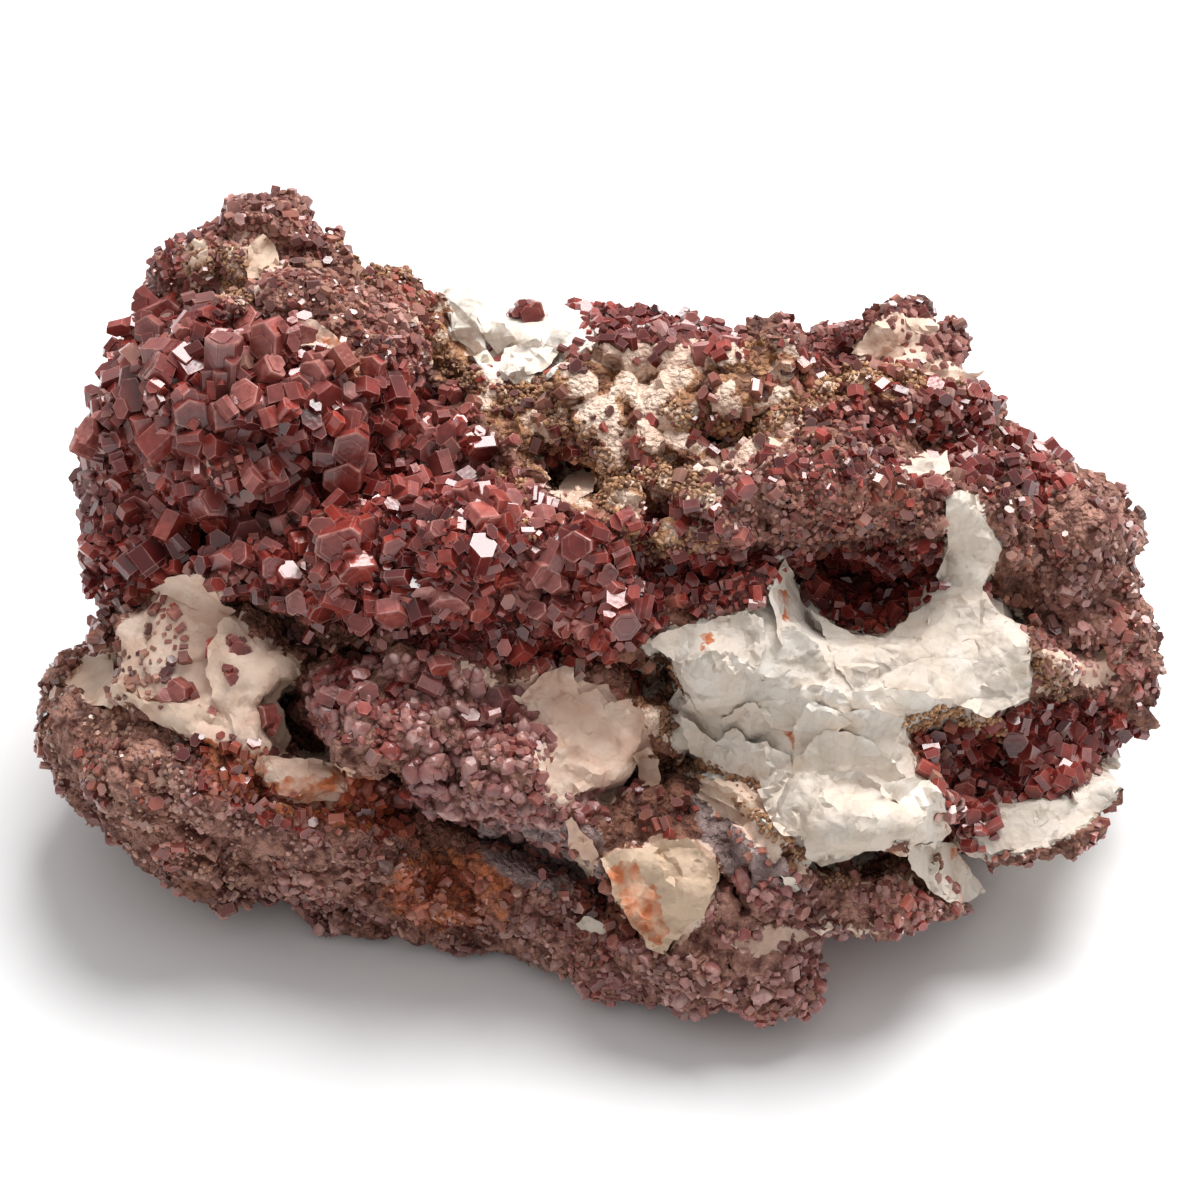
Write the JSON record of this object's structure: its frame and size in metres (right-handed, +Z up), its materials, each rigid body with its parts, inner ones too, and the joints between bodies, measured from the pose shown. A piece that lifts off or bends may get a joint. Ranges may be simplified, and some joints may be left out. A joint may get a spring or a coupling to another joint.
{
  "type": "mineral specimen of vanadinite on barite",
  "caption": "Hand-sized mineral specimen: cream barite rock under crusts of small red six-sided vanadinite crystals, flat where it rests on a shelf.",
  "frame": {"origin": "middle of the specimen's outline, on the flat face that it rests on", "axes": "+Z up, +X along the specimen's length, from the big crystal bank to the small one, -Y towards the side shown in the picture"},
  "size_m": [0.1202, 0.0816, 0.0583],
  "materials": {
    "barite": "rough broken mineral, pearly white on cleavage faces, cream to ochre brown elsewhere",
    "vanadinite": "glossy brownish red crystals with a resinous shine, duller where they are drusy"
  },
  "bodies": {
    "root": {"barite_matrix": "barite", "vanadinite_left_bank": "vanadinite", "vanadinite_top_left": "vanadinite", "vanadinite_arch_ridge": "vanadinite", "vanadinite_arch_pocket": "vanadinite", "vanadinite_back_knob": "vanadinite", "vanadinite_right_knob": "vanadinite", "vanadinite_right_bank": "vanadinite", "vanadinite_right_pocket": "vanadinite", "vanadinite_tongue": "vanadinite", "vanadinite_lower_left": "vanadinite", "vanadinite_front_ledge": "vanadinite", "vanadinite_lower_front": "vanadinite"}
  },
  "joints": []
}
